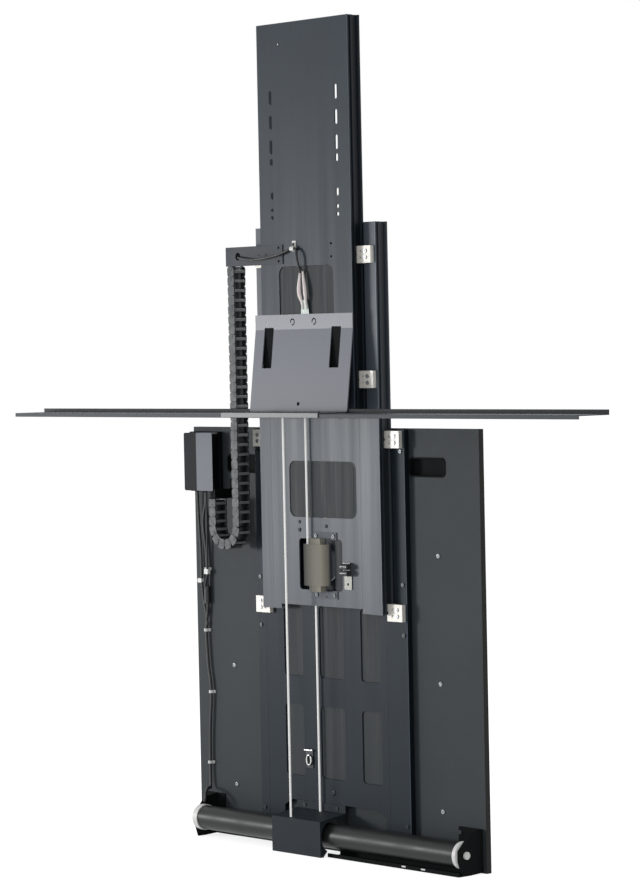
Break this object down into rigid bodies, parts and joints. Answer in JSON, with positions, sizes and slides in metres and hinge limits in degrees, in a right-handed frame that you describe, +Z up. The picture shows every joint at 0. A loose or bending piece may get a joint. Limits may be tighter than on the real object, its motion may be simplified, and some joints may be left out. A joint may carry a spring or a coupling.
{
  "type": "motorised screen lift",
  "caption": "Floor standing motorised column for a flat screen: a board, telescoping rails, a rope drum, a cable chain and a closing bar.",
  "frame": {"origin": "centre of the bounding box on the floor, with the mast fully raised", "axes": "+X to the right of a viewer in front, +Y from the screen side to the back of the board, +Z up"},
  "size_m": [1.72, 0.1718, 1.6785],
  "materials": {
    "board": "matte black laminate",
    "rail": "satin anodised, dark grey",
    "nickel": "bright cast",
    "steel": "zinc plated",
    "black_steel": "satin black powder coat",
    "black_plastic": "matte black",
    "white_plastic": "satin white",
    "guard": "satin grey brown",
    "rope": "woven white cord",
    "cable": "matte black"
  },
  "bodies": {
    "base": {"back_board": "board", "hand_cup_left": "black_plastic", "hand_cup_right": "black_plastic", "fixed_rail": "rail", "rail_screws": "steel", "fixed_guide_upper_left": "nickel", "fixed_guide_upper_right": "nickel", "fixed_guide_lower_left": "nickel", "fixed_guide_lower_right": "nickel", "fixed_guide_screws": "steel", "top_pulley_pin": "steel", "motor_head": "white_plastic", "motor_bracket_left": "black_steel", "motor_bracket_right": "black_steel", "motor_bracket_screws": "steel", "idler_pin": "white_plastic", "rope_cover": "black_steel", "rope_cover_screws": "steel", "control_box_base": "black_plastic", "control_box_cover": "black_plastic", "motor_cable": "cable", "cable_coupler": "black_plastic", "cable_clips": "white_plastic", "chain_bracket": "black_steel", "chain_fixed_leg": "black_plastic", "return_rope": "rope", "hoist_rope_lower": "rope", "hoist_rope_middle": "rope"},
    "drum": {"drum_tube": "black_steel", "idler_ring": "white_plastic", "drum_rope": "rope"},
    "rail_pulley": {"top_pulley": "guard"},
    "middle": {"middle_stage": "rail", "middle_window_lining": "rail", "middle_guide_upper_left": "nickel", "middle_guide_upper_right": "nickel", "middle_guide_lower_left": "nickel", "middle_guide_lower_right": "nickel", "middle_guide_screws": "steel", "pulley_guard": "guard", "guard_screws": "steel", "upper_pulley_pin": "steel", "stage_rope": "rope", "limit_switch": "steel", "limit_switch_knobs": "black_plastic", "chain_bend": "black_plastic", "hoist_rope_upper": "rope"},
    "foot_pulley": {"lower_pulley": "guard"},
    "head_pulley": {"upper_pulley": "guard"},
    "upper": {"upper_stage": "rail", "upper_window_lining": "rail", "tray_bracket": "black_steel", "tray_bar": "black_steel", "tray_screws": "steel", "chain_arm": "black_steel", "chain_run": "black_plastic", "sensor_clip": "white_plastic", "sensor_cable": "cable", "sensor_tape": "white_plastic", "rope_anchor": "steel"}
  },
  "joints": [
    {"name": "middle_slide", "type": "slide", "parent": "base", "child": "middle", "axis": [0, 0, 1], "range_m": [-0.375, 0], "deforming": ["hoist_rope_middle", "return_rope", "chain_fixed_leg"]},
    {"name": "upper_slide", "type": "slide", "parent": "middle", "child": "upper", "axis": [0, 0, 1], "range_m": [-0.375, 0], "deforming": ["hoist_rope_upper", "chain_run"]},
    {"name": "drum_spin", "type": "hinge", "parent": "base", "child": "drum", "pos_m": [0.009, 0.02737, 0.04], "axis": [1, 0, 0], "range_deg": [0, 1580]},
    {"name": "rail_pulley_spin", "type": "hinge", "parent": "base", "child": "rail_pulley", "pos_m": [0.00588, 0.05462, 0.815], "axis": [0, 1, 0], "range_deg": [0, 1240]},
    {"name": "foot_pulley_spin", "type": "hinge", "parent": "middle", "child": "foot_pulley", "pos_m": [0.009, 0.0425, 0.584], "axis": [-0.3566, 0.9343, 0], "range_deg": [0, 640]},
    {"name": "head_pulley_spin", "type": "hinge", "parent": "middle", "child": "head_pulley", "pos_m": [0.01924, 0.03037, 1.217], "axis": [0, 1, 0], "range_deg": [0, 520]}
  ],
  "couplings": [
    {"joint": "upper_slide", "follows": "middle_slide", "ratio": 1},
    {"joint": "drum_spin", "follows": "middle_slide", "rad_per_m": -73.394},
    {"joint": "rail_pulley_spin", "follows": "middle_slide", "rad_per_m": -57.336},
    {"joint": "foot_pulley_spin", "follows": "middle_slide", "rad_per_m": -29.412},
    {"joint": "head_pulley_spin", "follows": "middle_slide", "rad_per_m": -23.81}
  ]
}
